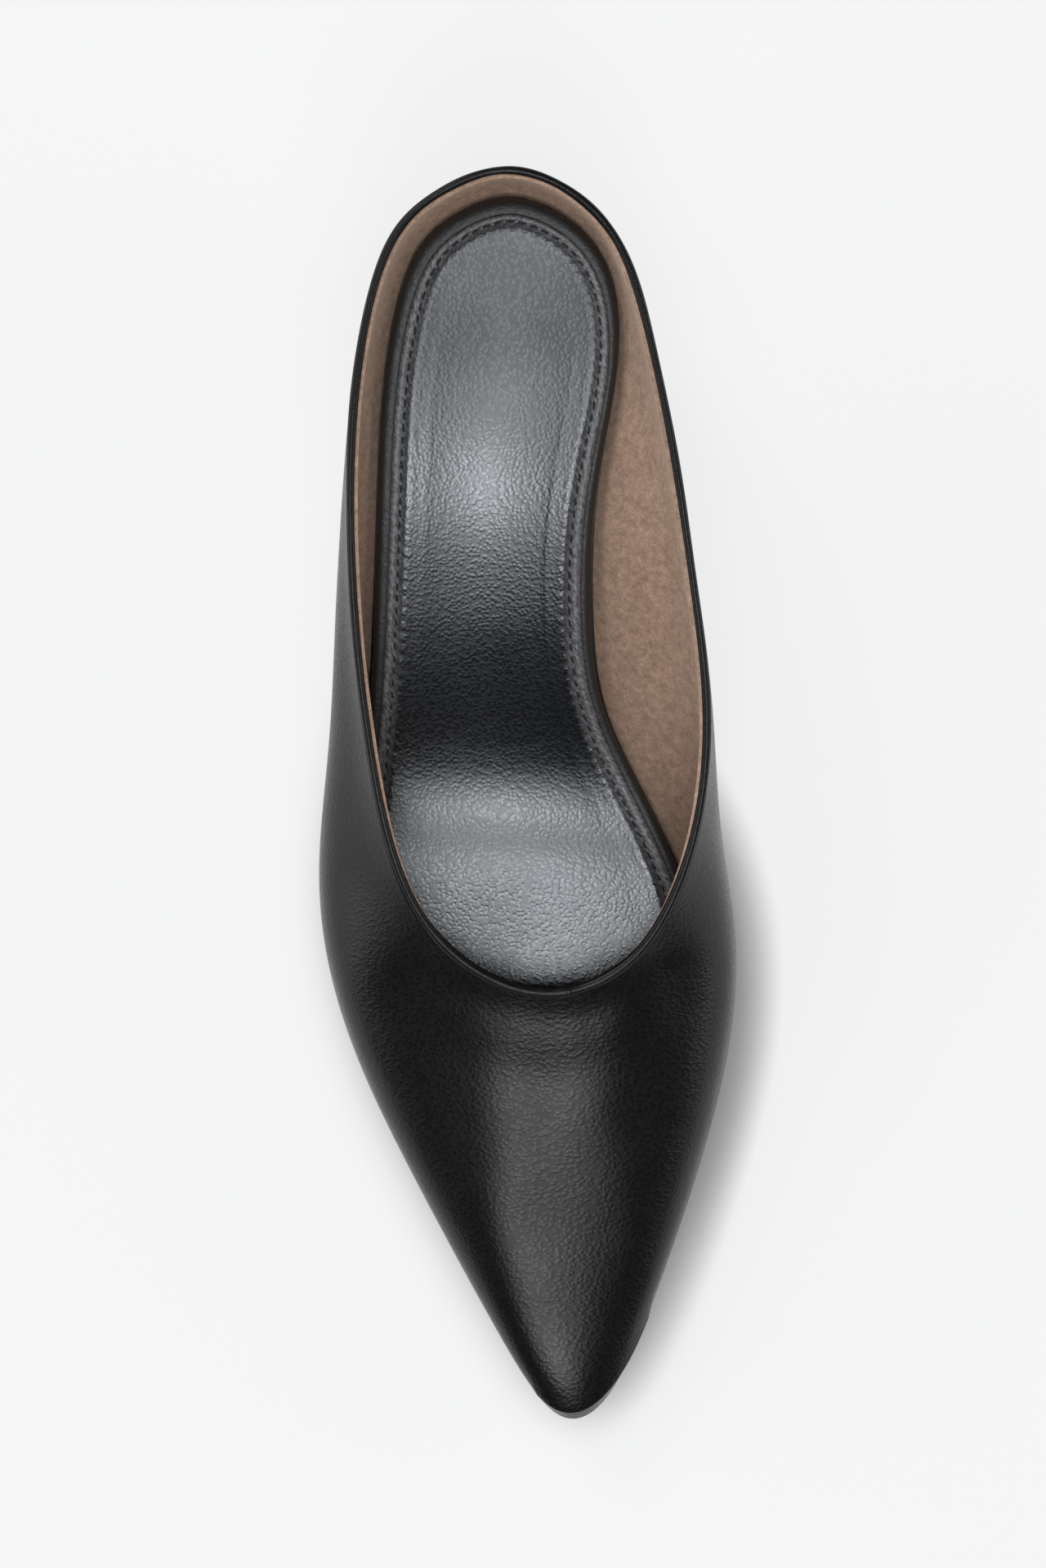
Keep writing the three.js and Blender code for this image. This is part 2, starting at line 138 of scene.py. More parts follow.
# The shade falls on the big-toe side and past the tip, where the shoe is close to the floor.
lit_side = add_node(tree, "ShaderNodeCombineXYZ", dict(zip("XYZ", LIT_SIDE)))
open_sky = add_node(
    tree,
    "ShaderNodeAmbientOcclusion",
    {"Distance": SHADE_REACH, "Normal": lit_side.outputs["Vector"]},
    samples=16,
)
shade = ramp(tree, open_sky.outputs["AO"], 0.4, 1.0, SHADE_DARKEST, 1.0, soft=True)
tree.links.new(shade, paper.inputs["Emission Strength"])
floor.data.materials.append(floor_paper)

for name, (x, y, height, width, depth, radiance) in LAMPS.items():
    lamp = bpy.data.lights.new(name, "AREA")
    lamp.shape = "RECTANGLE"
    lamp.size = width
    lamp.size_y = depth
    lamp.energy = radiance * math.pi * width * depth
    stand = bpy.data.objects.new(name, lamp)
    stand.location = (x, shoe_middle.y + y, height)
    stand.rotation_euler = (shoe_middle - stand.location).to_track_quat("-Z", "Y").to_euler()
    scene.collection.objects.link(stand)

BACKDROP_GREY = 0.89  # what shows past the floor's far edge

room = bpy.data.worlds.new("room")
room.use_nodes = True
tree = room.node_tree
wall_tone = add_node(
    tree,
    "ShaderNodeMix",
    {
        "Factor": add_node(tree, "ShaderNodeLightPath").outputs["Is Camera Ray"],
        "A": (ROOM_GREY, ROOM_GREY, ROOM_GREY * 1.03, 1),
        "B": (BACKDROP_GREY, BACKDROP_GREY, BACKDROP_GREY, 1),
    },
    data_type="RGBA",
)
tree.links.new(wall_tone.outputs["Result"], tree.nodes["Background"].inputs["Color"])
scene.world = room
scene.view_settings.view_transform = "Standard"
scene.view_settings.look = "None"

# ---------------------------------------------------------------------------
# Upper leather: one soft black nappa skin, about a millimetre thick, lasted
# over the whole foot. Its top edge is turned in and stops short of the bead.
# ---------------------------------------------------------------------------
UPPER_SKIN = 1.0 * MM
BEAD_SPAN = 1.50 * MM  # the leather stops this far under the topline
LIP_RING = 0.9 * MM  # a ring of faces that keeps the turned edge tight


def pick_up(piece):
    """Makes piece the one selected, active object."""
    bpy.ops.object.select_all(action="DESELECT")
    piece.select_set(True)
    bpy.context.view_layer.objects.active = piece


def finish_modifier(piece, kind, **settings):
    """Adds a modifier to piece and applies it."""
    modifier = piece.modifiers.new(kind.lower(), kind)
    for setting, value in settings.items():
        setattr(modifier, setting, value)
    pick_up(piece)
    bpy.ops.object.modifier_apply(modifier=modifier.name)


def round_edges(piece, width, angle):
    """Rounds off the edges of piece that turn by more than angle, in degrees."""
    finish_modifier(
        piece,
        "BEVEL",
        width=width,
        segments=3,
        limit_method="ANGLE",
        angle_limit=math.radians(angle),
    )
    pick_up(piece)


def drop_diagonals(piece):
    """Turns a regular net of triangles back into four-sided faces, without a seam or a slip."""
    mesh = bmesh.new()
    mesh.from_mesh(piece.data)
    mesh.faces.ensure_lookup_table()
    first = mesh.faces[0]
    run = {edge: k for k, edge in enumerate(first.edges)}
    seen, todo = {first}, [first]
    while todo:
        face = todo.pop()
        for shared in face.edges:
            for beyond in shared.link_faces:
                if beyond in seen:
                    continue
                seen.add(beyond)
                todo.append(beyond)
                for edge in beyond.edges:
                    if edge is shared:
                        continue
                    for side in face.edges:
                        if side is not shared and not set(side.verts) & set(edge.verts):
                            run[edge] = run[side]
    runs = [[edge for edge in run if run[edge] == k] for k in range(3)]
    slanting = max(runs, key=lambda edges: sum(e.calc_length() for e in edges) / len(edges))
    bmesh.ops.dissolve_edges(mesh, edges=slanting, use_verts=False)
    mesh.to_mesh(piece.data)
    mesh.free()


def cut_from(node, name):
    """A copy of a CAD node as a new piece, its doubled vertices welded."""
    piece = bpy.data.objects.new(name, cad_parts[node].data.copy())
    piece.data.materials.clear()
    scene.collection.objects.link(piece)
    pick_up(piece)
    bpy.ops.object.mode_set(mode="EDIT")
    bpy.ops.mesh.select_all(action="SELECT")
    bpy.ops.mesh.remove_doubles(threshold=0.002 * MM)
    bpy.ops.object.mode_set(mode="OBJECT")
    return piece


def open_edges(mesh):
    """The open edges of a bmesh as ordered loops of vertices, the highest loop first."""
    loops = []
    left = {v for v in mesh.verts if v.is_boundary}
    while left:
        start = min(left, key=lambda v: v.index)
        loop = [start]
        left.discard(start)
        while True:
            onward = [
                e.other_vert(loop[-1])
                for e in loop[-1].link_edges
                if e.is_boundary and e.other_vert(loop[-1]) in left
            ]
            if not onward:
                break
            loop.append(onward[0])
            left.discard(onward[0])
        loops.append(loop)
    return sorted(loops, key=lambda loop: -sum(v.co.z for v in loop) / len(loop))


def trim_top(piece, drop, lip):
    """Slides the net's ribs down: the top edge by drop, and the next ring to lip under it."""
    mesh = bmesh.new()
    mesh.from_mesh(piece.data)
    moved = {}
    for top in open_edges(mesh)[0]:
        rib = [top]
        edge = next(e for e in top.link_edges if not e.is_boundary)
        while True:
            vertex = edge.other_vert(rib[-1])
            rib.append(vertex)
            if vertex.is_boundary:
                break
            used = set(edge.link_faces)
            onward = (e for e in vertex.link_edges if e is not edge)
            edge = next(e for e in onward if not used & set(e.link_faces))
        line = np.array([v.co for v in rib])
        arc = np.concatenate([[0], np.cumsum(np.linalg.norm(np.diff(line, axis=0), axis=1))])
        rest = (arc[-1] - drop - lip) / (arc[-1] - arc[1])
        goal = drop + lip + (arc - arc[1]) * rest
        goal[0], goal[1] = drop, drop + lip
        slope = np.gradient(line, arc, axis=0)
        for vertex, at in zip(rib, goal):
            k = min(max(np.searchsorted(arc, at) - 1, 0), len(arc) - 2)
            step = arc[k + 1] - arc[k]
            t = (at - arc[k]) / step
            moved[vertex] = Vector(
                (1 + 2 * t) * (1 - t) ** 2 * line[k]
                + t * (1 - t) ** 2 * step * slope[k]
                + t * t * (3 - 2 * t) * line[k + 1]
                + t * t * (t - 1) * step * slope[k + 1]
            )
    for vertex, place in moved.items():
        vertex.co = place
    mesh.to_mesh(piece.data)
    mesh.free()


whole = cut_from("upper", "upper_leather")
drop_diagonals(whole)
bpy.ops.object.mode_set(mode="EDIT")
bpy.ops.mesh.select_mode(type="EDGE")
bpy.ops.mesh.select_all(action="DESELECT")
bpy.ops.mesh.edges_select_sharp(sharpness=math.radians(36))
bpy.ops.mesh.edge_split(type="EDGE")
bpy.ops.mesh.select_all(action="SELECT")
bpy.ops.mesh.separate(type="LOOSE")
bpy.ops.object.mode_set(mode="OBJECT")
skins = sorted(
    (o for o in bpy.context.selected_objects if o.type == "MESH"),
    key=lambda o: (-len(o.data.polygons), -o.dimensions.x),
)
upper_leather, lining, top_rim, bottom_rim = skins
for rim in (top_rim, bottom_rim):
    bpy.data.objects.remove(rim)
upper_leather.name = "upper_leather"
lining.name = "lining"


def topline_of(skin):
    """A skin's top open edge: its points, the way out there, and the way on past the edge."""
    mesh = bmesh.new()
    mesh.from_mesh(skin.data)
    mesh.normal_update()
    loop = open_edges(mesh)[0]
    points, out, past = [], [], []
    for k, vertex in enumerate(loop):
        along = loop[(k + 1) % len(loop)].co - loop[k - 1].co
        side = vertex.normal.cross(along).normalized()
        below = next(e.other_vert(vertex) for e in vertex.link_edges if not e.is_boundary)
        if side.dot(vertex.co - below.co) < 0:
            side.negate()
        points.append(vertex.co.copy())
        out.append(vertex.normal.copy())
        past.append(side)
    mesh.free()
    return points, out, past


# The topline is drawn from a fine copy, before the leather is cut back for the bead.
spare = bpy.data.objects.new("spare", upper_leather.data.copy())
scene.collection.objects.link(spare)
finish_modifier(spare, "SUBSURF", levels=2, render_levels=2)
topline, topline_out, topline_past = topline_of(spare)
bpy.data.objects.remove(spare)

trim_top(upper_leather, BEAD_SPAN, LIP_RING)
finish_modifier(upper_leather, "SUBSURF", levels=2, render_levels=2)


def soft_press(piece, strokes):
    """Pushes a piece in along soft strokes, each a path in plan, its half-width and its depth."""
    mesh = piece.data
    place = np.array([v.co for v in mesh.vertices])
    push = np.zeros(len(place))
    for path, width, depth in strokes:
        path = np.array(path, float) * MM
        near = np.full(len(place), 1e9)
        for a, b in zip(path[:-1], path[1:]):
            run = b - a
            share = np.clip(((place[:, :2] - a) @ run) / (run @ run), 0, 1)
            gap = np.hypot(*(place[:, :2] - a - share[:, None] * run).T)
            near = np.minimum(near, gap)
        push += depth * MM * np.exp(-((near / (width * MM)) ** 2))
    facing = np.array([v.normal for v in mesh.vertices])
    place -= facing * push[:, None]
    mesh.vertices.foreach_set("co", place.ravel())
    mesh.update()


# Soft hollows: the vamp drops away in front of the throat, and is drawn in beside it.
# Each: a path in plan, how far it reaches on either side, and how deep it is, in mm.
HOLLOWS = [
    ([(31, -34), (29, -48), (25, -62)], 7.0, 0.6),
    ([(-22, -42), (-17, -56), (-12, -70)], 8.0, 0.3),
    ([(2, -58), (5, -72), (8, -88), (9, -102)], 13.5, 0.95),
    ([(-24, -38), (-14, -48), (2, -53), (18, -50), (30, -40)], 8.0, 0.5),
    (
        [(-20, -32.5), (-12, -38), (-5, -41), (4, -42.5), (12, -41.5), (20, -37.5), (26, -31)],
        4.2,
        0.6,
    ),
    ([(2, -84), (14, -88)], 7.0, 0.2),
]
soft_press(upper_leather, HOLLOWS)
finish_modifier(upper_leather, "SOLIDIFY", thickness=UPPER_SKIN, offset=-1)
round_edges(upper_leather, 0.25 * MM, 50)
bpy.ops.object.shade_smooth()
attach(upper_leather, "root")
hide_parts("upper")


def new_group(name, takes, gives):
    """An empty node group with float or vector inputs and float outputs."""
    group = bpy.data.node_groups.new(name, "ShaderNodeTree")
    for socket, kind in takes.items():
        group.interface.new_socket(socket, in_out="INPUT", socket_type=kind)
    for socket in gives:
        group.interface.new_socket(socket, in_out="OUTPUT", socket_type="NodeSocketFloat")
    return group, add_node(group, "NodeGroupInput"), add_node(group, "NodeGroupOutput")


def figure(tree, operation, *values):
    """The result of a maths node whose inputs are values or sockets."""
    return add_node(tree, "ShaderNodeMath", dict(enumerate(values)), operation=operation).outputs[0]


# Leather grain: small rounded pebbles with fine valleys between them, and finer pores on top.
grain, grain_in, grain_out = new_group(
    "leather_grain",
    {"Place": "NodeSocketVector", "Cells": "NodeSocketFloat", "Wander": "NodeSocketFloat"},
    ("Height", "Valley"),
)
place, cells = grain_in.outputs["Place"], grain_in.outputs["Cells"]
drift = add_node(
    grain,
    "ShaderNodeTexNoise",
    {"Vector": place, "Scale": figure(grain, "MULTIPLY", cells, 0.3), "Detail": 1.0},
)
centred = add_node(
    grain,
    "ShaderNodeVectorMath",
    {0: drift.outputs["Color"], 1: (0.5, 0.5, 0.5)},
    operation="SUBTRACT",
)
wander = add_node(
    grain,
    "ShaderNodeVectorMath",
    {0: centred.outputs[0], "Scale": figure(grain, "DIVIDE", grain_in.outputs["Wander"], cells)},
    operation="SCALE",
)
bent = add_node(
    grain, "ShaderNodeVectorMath", {0: place, 1: wander.outputs[0]}, operation="ADD"
)
pebbles = add_node(
    grain,
    "ShaderNodeTexVoronoi",
    {"Vector": bent.outputs[0], "Scale": cells, "Smoothness": 0.35},
    feature="SMOOTH_F1",
)
dome = ramp(grain, pebbles.outputs["Distance"], 0.15, 0.75, 1.0, 0.0, soft=True)
pores = add_node(
    grain,
    "ShaderNodeTexNoise",
    {"Vector": place, "Scale": figure(grain, "MULTIPLY", cells, 2.2), "Detail": 2.0},
)
raised = figure(grain, "MULTIPLY_ADD", pores.outputs["Fac"], 0.35, dome)
grain.links.new(raised, grain_out.inputs["Height"])
grain.links.new(figure(grain, "SUBTRACT", 1.0, dome), grain_out.inputs["Valley"])

# Handling: broad, faint changes of shine where a hide was stretched, rubbed or touched.
handling, handling_in, handling_out = new_group(
    "handling", {"Place": "NodeSocketVector", "Patches": "NodeSocketFloat"}, ("Rubbed",)
)
patches = add_node(
    handling,
    "ShaderNodeTexNoise",
    {
        "Vector": handling_in.outputs["Place"],
        "Scale": handling_in.outputs["Patches"],
        "Detail": 4.0,
        "Roughness": 0.6,
    },
)
rubbed = ramp(handling, patches.outputs["Fac"], 0.35, 0.7, soft=True)
handling.links.new(rubbed, handling_out.inputs["Rubbed"])

HANDLED_PATCHES = 26
VALLEY_DULL = 0.09  # how much rougher the valleys of the grain are


def blend(tree, share, first, second):
    """A colour between first and second."""
    inputs = {"Factor": share, "A": first, "B": second}
    return add_node(tree, "ShaderNodeMix", inputs, data_type="RGBA").outputs["Result"]


def leather(
    name,
    dark,
    light,
    shine,
    grain_cells,
    grain_deep,
    stretch=(1, 1, 1),
    turn=0.0,
    wander=0.9,
    finish=0.5,
):
    """A dyed leather.

    It has two tones, a least and a most roughness, its grain's size and depth, how the grain
    is stretched, turned and made uneven, and the strength of its finish coat.
    """
    material = bpy.data.materials.new(name)
    material.use_nodes = True
    tree = material.node_tree
    skin = tree.nodes["Principled BSDF"]
    skin.inputs["Specular IOR Level"].default_value = finish
    place = add_node(tree, "ShaderNodeTexCoord").outputs["Object"]
    turned = add_node(
        tree, "ShaderNodeMapping", {"Vector": place, "Scale": stretch, "Rotation": (0, 0, turn)}
    )
    pebble = add_node(tree, "ShaderNodeGroup", node_tree=grain)
    tree.links.new(turned.outputs[0], pebble.inputs["Place"])
    pebble.inputs["Cells"].default_value = grain_cells
    pebble.inputs["Wander"].default_value = wander
    touch = add_node(tree, "ShaderNodeGroup", node_tree=handling)
    tree.links.new(place, touch.inputs["Place"])
    touch.inputs["Patches"].default_value = HANDLED_PATCHES
    rubbed = touch.outputs["Rubbed"]
    tree.links.new(blend(tree, rubbed, dark, light), skin.inputs["Base Color"])
    dull = ramp(tree, rubbed, 0.0, 1.0, shine[1], shine[0])
    duller = figure(tree, "MULTIPLY_ADD", pebble.outputs["Valley"], VALLEY_DULL, dull)
    tree.links.new(duller, skin.inputs["Roughness"])
    relief = add_node(
        tree,
        "ShaderNodeBump",
        {"Height": pebble.outputs["Height"], "Distance": grain_deep, "Strength": 1.0},
    )
    tree.links.new(relief.outputs[0], skin.inputs["Normal"])
    return material


upper_leather.data.materials.append(
    leather(
        "upper_nappa",
        dark=(0.0022, 0.0022, 0.0024, 1),
        light=(0.0040, 0.0040, 0.0042, 1),
        shine=(0.25, 0.31),
        finish=0.38,
        grain_cells=1200,
        grain_deep=0.029 * MM,
        stretch=(0.85, 1.15, 1.0),
        turn=0.25,
    )
)

# ---------------------------------------------------------------------------
# The bead: a narrow strip of the same leather, rolled over a cord and sewn in
# along the whole topline, so that the edge is round and firm.
# ---------------------------------------------------------------------------
BEAD_RADIUS = 0.85 * MM
BEAD_IN = 0.70 * MM
BEAD_UNDER = 0.9  # how far under the topline its middle lies, as a share of its radius
THROAT_PLUMP = 0.3  # the strip bunches up where it bends hardest, in front
THROAT_Y = -38
THROAT_REACH = 11

bead_line = bpy.data.curves.new("topline_bead", "CURVE")
bead_line.dimensions = "3D"
bead_line.bevel_depth = BEAD_RADIUS
bead_line.bevel_resolution = 4
bead_run = bead_line.splines.new("POLY")
bead_run.points.add(len(topline) - 1)
bead_run.use_cyclic_u = True
for k, knot in enumerate(bead_run.points):
    from_throat = (topline[k].y / MM - THROAT_Y) / THROAT_REACH
    plump = 1 + THROAT_PLUMP * math.exp(-(from_throat**2))
    under = topline_past[k] * BEAD_RADIUS * BEAD_UNDER + topline_out[k] * BEAD_IN
    knot.co = (*(topline[k] - under * plump), 1)
    knot.radius = plump + 0.05 * math.sin(k * 0.21) + 0.04 * math.sin(k * 0.057 + 1)
bead = bpy.data.objects.new("topline_bead", bead_line)
scene.collection.objects.link(bead)
pick_up(bead)
bpy.ops.object.convert(target="MESH")
bead = bpy.context.active_object
bpy.ops.object.mode_set(mode="EDIT")
bpy.ops.mesh.select_all(action="SELECT")
bpy.ops.mesh.normals_make_consistent(inside=False)
bpy.ops.object.mode_set(mode="OBJECT")
bpy.ops.object.shade_smooth()
bead.data.materials.append(
    leather(
        "bead_nappa",
        dark=(0.0035, 0.0035, 0.0037, 1),
        light=(0.006, 0.006, 0.0063, 1),
        shine=(0.26, 0.32),
        finish=0.3,
        grain_cells=1900,
        grain_deep=0.02 * MM,
    )
)
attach(bead, "root")

# ---------------------------------------------------------------------------
# Lining: taupe pigskin suede inside the whole upper, with its cut edge showing
# beside the bead, and a painted highlight: a lighter band just under the edge, where the lining's
# top catches more light.
# ---------------------------------------------------------------------------
LINING_THICK = 0.95 * MM
LINING_DROP = 0.8 * MM  # its cut edge sits this far under the topline
LINING_RING = 0.7 * MM

trim_top(lining, LINING_DROP, LINING_RING)
finish_modifier(lining, "SUBSURF", levels=2, render_levels=2)
soft_press(lining, [(path, width, -depth) for path, width, depth in HOLLOWS])
lining_edge = KDTree(len(topline))
for k, point in enumerate(topline):
    lining_edge.insert(point, k)
lining_edge.balance()
finish_modifier(lining, "SOLIDIFY", thickness=LINING_THICK, offset=-1)
under_rim = [lining_edge.find(v.co)[2] / MM for v in lining.data.vertices]
depth_mark = lining.data.attributes.new("under_rim", "FLOAT", "POINT")
depth_mark.data.foreach_set("value", under_rim)
pick_up(lining)
bpy.ops.object.shade_smooth_by_angle(angle=math.radians(50))

suede = bpy.data.materials.new("taupe_suede")
suede.use_nodes = True
tree = suede.node_tree
nap = tree.nodes["Principled BSDF"]
nap.inputs["Sheen Weight"].default_value = 0.35
nap.inputs["Sheen Roughness"].default_value = 0.5
nap.inputs["Sheen Tint"].default_value = (0.9, 0.75, 0.62, 1)
nap.inputs["Specular IOR Level"].default_value = 0.15
place = add_node(tree, "ShaderNodeTexCoord").outputs["Object"]
fibres = add_node(
    tree, "ShaderNodeTexNoise", {"Vector": place, "Scale": 2600.0, "Detail": 3.0, "Roughness": 0.7}
)
brushed = add_node(
    tree, "ShaderNodeTexNoise", {"Vector": place, "Scale": 520.0, "Detail": 6.0, "Roughness": 0.75}
)
swept = ramp(tree, brushed.outputs["Fac"], 0.3, 0.7)
mottle = blend(tree, swept, (0.28, 0.182, 0.131, 1), (0.56, 0.386, 0.288, 1))
speckle = ramp(tree, fibres.outputs["Fac"], 0.3, 0.7, 0.72, 1.2)
below = add_node(tree, "ShaderNodeAttribute", attribute_name="under_rim").outputs["Fac"]
# Painted highlight: the suede is up to 16 % lighter near its cut edge, fading out from 2.6 to 4.2
# mm under it, where the lining's top catches more light.
painted_rim_light = ramp(tree, below, 2.6, 4.2, 1.16, 1.0, soft=True)
toned = add_node(
    tree,
    "ShaderNodeVectorMath",
    {0: mottle, "Scale": figure(tree, "MULTIPLY", speckle, painted_rim_light)},
    operation="SCALE",
)
tree.links.new(toned.outputs[0], nap.inputs["Base Color"])
nap.inputs["Roughness"].default_value = 0.95
fuzz = add_node(
    tree,
    "ShaderNodeBump",
    {"Height": fibres.outputs["Fac"], "Distance": 0.10 * MM, "Strength": 0.7},
)
tree.links.new(fuzz.outputs[0], nap.inputs["Normal"])
lining.data.materials.append(suede)
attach(lining, "root")

# ---------------------------------------------------------------------------
# Sock: a foam pad with a smooth leather band round its side and a thin glossy
# leather cover over it, stitched through near its edge and cemented in place.
# ---------------------------------------------------------------------------
SOCK_POINTS = 168  # points round it, from the toe along the little-toe side
SOCK_CORNER = 14  # the pad's flat net turns its corners this far from each end
EASE_PASSES = 14
BAND_PASSES = 6
RIM_SAMPLES = 1600
SEAM_SAMPLES = 4000
STITCH_PITCH = 2.4

stations = {}
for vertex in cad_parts["sock"].data.vertices:
    stations.setdefault(round(vertex.co.y / MM, 1), []).append(vertex.co / MM)
station_y = np.array(sorted(stations))
little_side = np.array([min(c.x for c in stations[y]) for y in station_y])
big_side = np.array([max(c.x for c in stations[y]) for y in station_y])
edge_height = np.array([max(c.z for c in stations[y]) for y in station_y])

# The heights are smoothed a little, because the cover is glossy enough to show every flat.
SMOOTH_STEPS = 16
fine_y = np.arange(station_y[0] - 12, station_y[-1] + 12, 0.5)
smooth = np.exp(-((np.arange(-SMOOTH_STEPS, SMOOTH_STEPS + 1) / (SMOOTH_STEPS / 2)) ** 2))
fine_height = np.pad(np.interp(fine_y, station_y, edge_height), SMOOTH_STEPS, mode="edge")
fine_height = np.convolve(fine_height, smooth / smooth.sum(), "valid")

# The pad is thicker under the arch: there it takes its height from a little nearer the heel.
ARCH_SHIFT = 2.6
ARCH_Y = 22
ARCH_REACH = 26

# Its toe end is cut round, well inside the point of the shoe.
ROUND_END_Y = -92
ROUND_END_DEEP = 13
end_half = np.interp(ROUND_END_Y, station_y, big_side - little_side) / 2
end_middle = np.interp(ROUND_END_Y, station_y, big_side + little_side) / 2
sweep = np.linspace(-math.pi / 2, math.pi / 2, 25)[1:-1]
kept = station_y > ROUND_END_Y
end_arc = np.stack(
    [end_middle - end_half * np.sin(sweep), ROUND_END_Y - ROUND_END_DEEP * np.cos(sweep)], 1
)
outline = np.concatenate(
    [
        end_arc[len(end_arc) // 2 :],
        np.stack([little_side[kept], station_y[kept]], 1),
        np.stack([big_side[kept], station_y[kept]], 1)[::-1],
        end_arc[: len(end_arc) // 2],
    ]
)


def spaced_out(path, count):
    """A closed path's points, moved to even steps along it."""
    ring = np.concatenate([path, path[:1]])
    run = np.concatenate([[0], np.cumsum(np.hypot(*np.diff(ring, axis=0).T))])
    steps = np.linspace(0, run[-1], count, endpoint=False)
    return np.stack([np.interp(steps, run, ring[:, 0]), np.interp(steps, run, ring[:, 1])], 1)


def eased(path, passes):
    """A closed path with its small corners rubbed off."""
    for _ in range(passes):
        path = (np.roll(path, 1, 0) + 2 * path + np.roll(path, -1, 0)) / 4
    return path


outline = eased(spaced_out(outline, SOCK_POINTS * 4), EASE_PASSES)
outline = spaced_out(outline, SOCK_POINTS)
along = np.roll(outline, -1, 0) - np.roll(outline, 1, 0)
along /= np.hypot(*along.T)[:, None]
inward = np.stack([along[:, 1], -along[:, 0]], 1)

# How wide the side band shows and how far in the seam runs, in mm, by place along the shoe.
on_little_side = np.arange(SOCK_POINTS) < SOCK_POINTS / 2
plan_y = outline[:, 1]
band = np.where(
    on_little_side,
    np.interp(plan_y, [-60, 20, 95, 112, 121], [2.2, 2.5, 2.7, 3.2, 3.5]),
    np.interp(plan_y, [-60, 0, 45, 85, 105, 121], [2.0, 2.1, 1.9, 1.5, 2.4, 3.5]),
)
border = np.where(
    on_little_side,
    np.interp(plan_y, [-60, 20, 95, 112, 121], [2.2, 2.1, 2.0, 1.7, 1.5]),
    np.interp(plan_y, [-60, 0, 45, 85, 105, 121], [2.4, 2.4, 2.4, 1.7, 1.6, 1.5]),
)
for _ in range(BAND_PASSES):
    band = (np.roll(band, 1) + 2 * band + np.roll(band, -1)) / 4
    border = (np.roll(border, 1) + 2 * border + np.roll(border, -1)) / 4

# Across the edge: share of the band's width, share of the border's, mm further in, and height.
EDGE_PROFILE = [
    (0.00, 0.00, 0.0, -4.00),
    (0.02, 0.00, 0.0, -2.60),
    (0.20, 0.00, 0.0, -1.35),
    (0.55, 0.00, 0.0, -0.85),
    (0.88, 0.00, 0.0, -0.82),
    (1.00, 0.00, 0.0, -1.00),
    (1.00, 0.02, 0.0, -0.62),
    (1.00, 0.12, 0.0, -0.16),
    (1.00, 0.45, 0.0, 0.08),
    (1.00, 0.82, 0.0, -0.04),
    (1.00, 1.00, 0.0, -0.42),
    (1.00, 1.00, 0.4, -0.16),
    (1.00, 1.00, 1.0, 0.20),
    (1.00, 1.00, 1.9, 0.20),
    (1.00, 1.00, 2.8, 0.09),
    (1.00, 1.00, 3.9, -0.01),
    (1.00, 1.00, 5.2, -0.11),
]
TOP_MARK = 5.5  # rings past this one are the cover, the ones before it the side band
SEAM_RING = 10
PAD_MARK = 11
CENTRE_SINK = 1.4  # how deep the pad is dished, and how steeply that starts at its rim
RIM_SLOPE = 0.118
DISH_PASSES = 12

rings = []
for band_share, border_share, further, height in EDGE_PROFILE:
    reach = band * band_share + border * border_share + further
    flat = outline + inward * reach[:, None]
    if further > 1:
        flat = eased(flat, int(further * 2))
    rings.append(np.column_stack([flat, np.full(SOCK_POINTS, height)]))


def net_inside(ring):
    """A four-sided net of points that fills a closed ring, in rows from its toe to its heel end."""
    corner, half = SOCK_CORNER, SOCK_POINTS // 2
    toe = ring[[(corner - i) % SOCK_POINTS for i in range(2 * corner + 1)]]
    heel_side = ring[[half - corner + i for i in range(2 * corner + 1)]]
    little = ring[[corner + j for j in range(half - 2 * corner + 1)]]
    big = ring[[(SOCK_POINTS - corner - j) % SOCK_POINTS for j in range(half - 2 * corner + 1)]]
    u = np.linspace(0, 1, len(toe))[None, :, None]
    v = np.linspace(0, 1, len(little))[:, None, None]
    net = (1 - v) * toe[None] + v * heel_side[None]
    net = net + (1 - u) * little[:, None] + u * big[:, None]
    net -= (1 - u) * (1 - v) * toe[0] + u * (1 - v) * toe[-1]
    net -= (1 - u) * v * heel_side[0] + u * v * heel_side[-1]
    return net


sock_mesh = bmesh.new()
across = sock_mesh.verts.layers.float.new("across")


def add_point(place, mark):
    """A point of the sock, marked with the ring it belongs to."""
    vertex = sock_mesh.verts.new(Vector(place) * MM)
    vertex[across] = mark
    return vertex


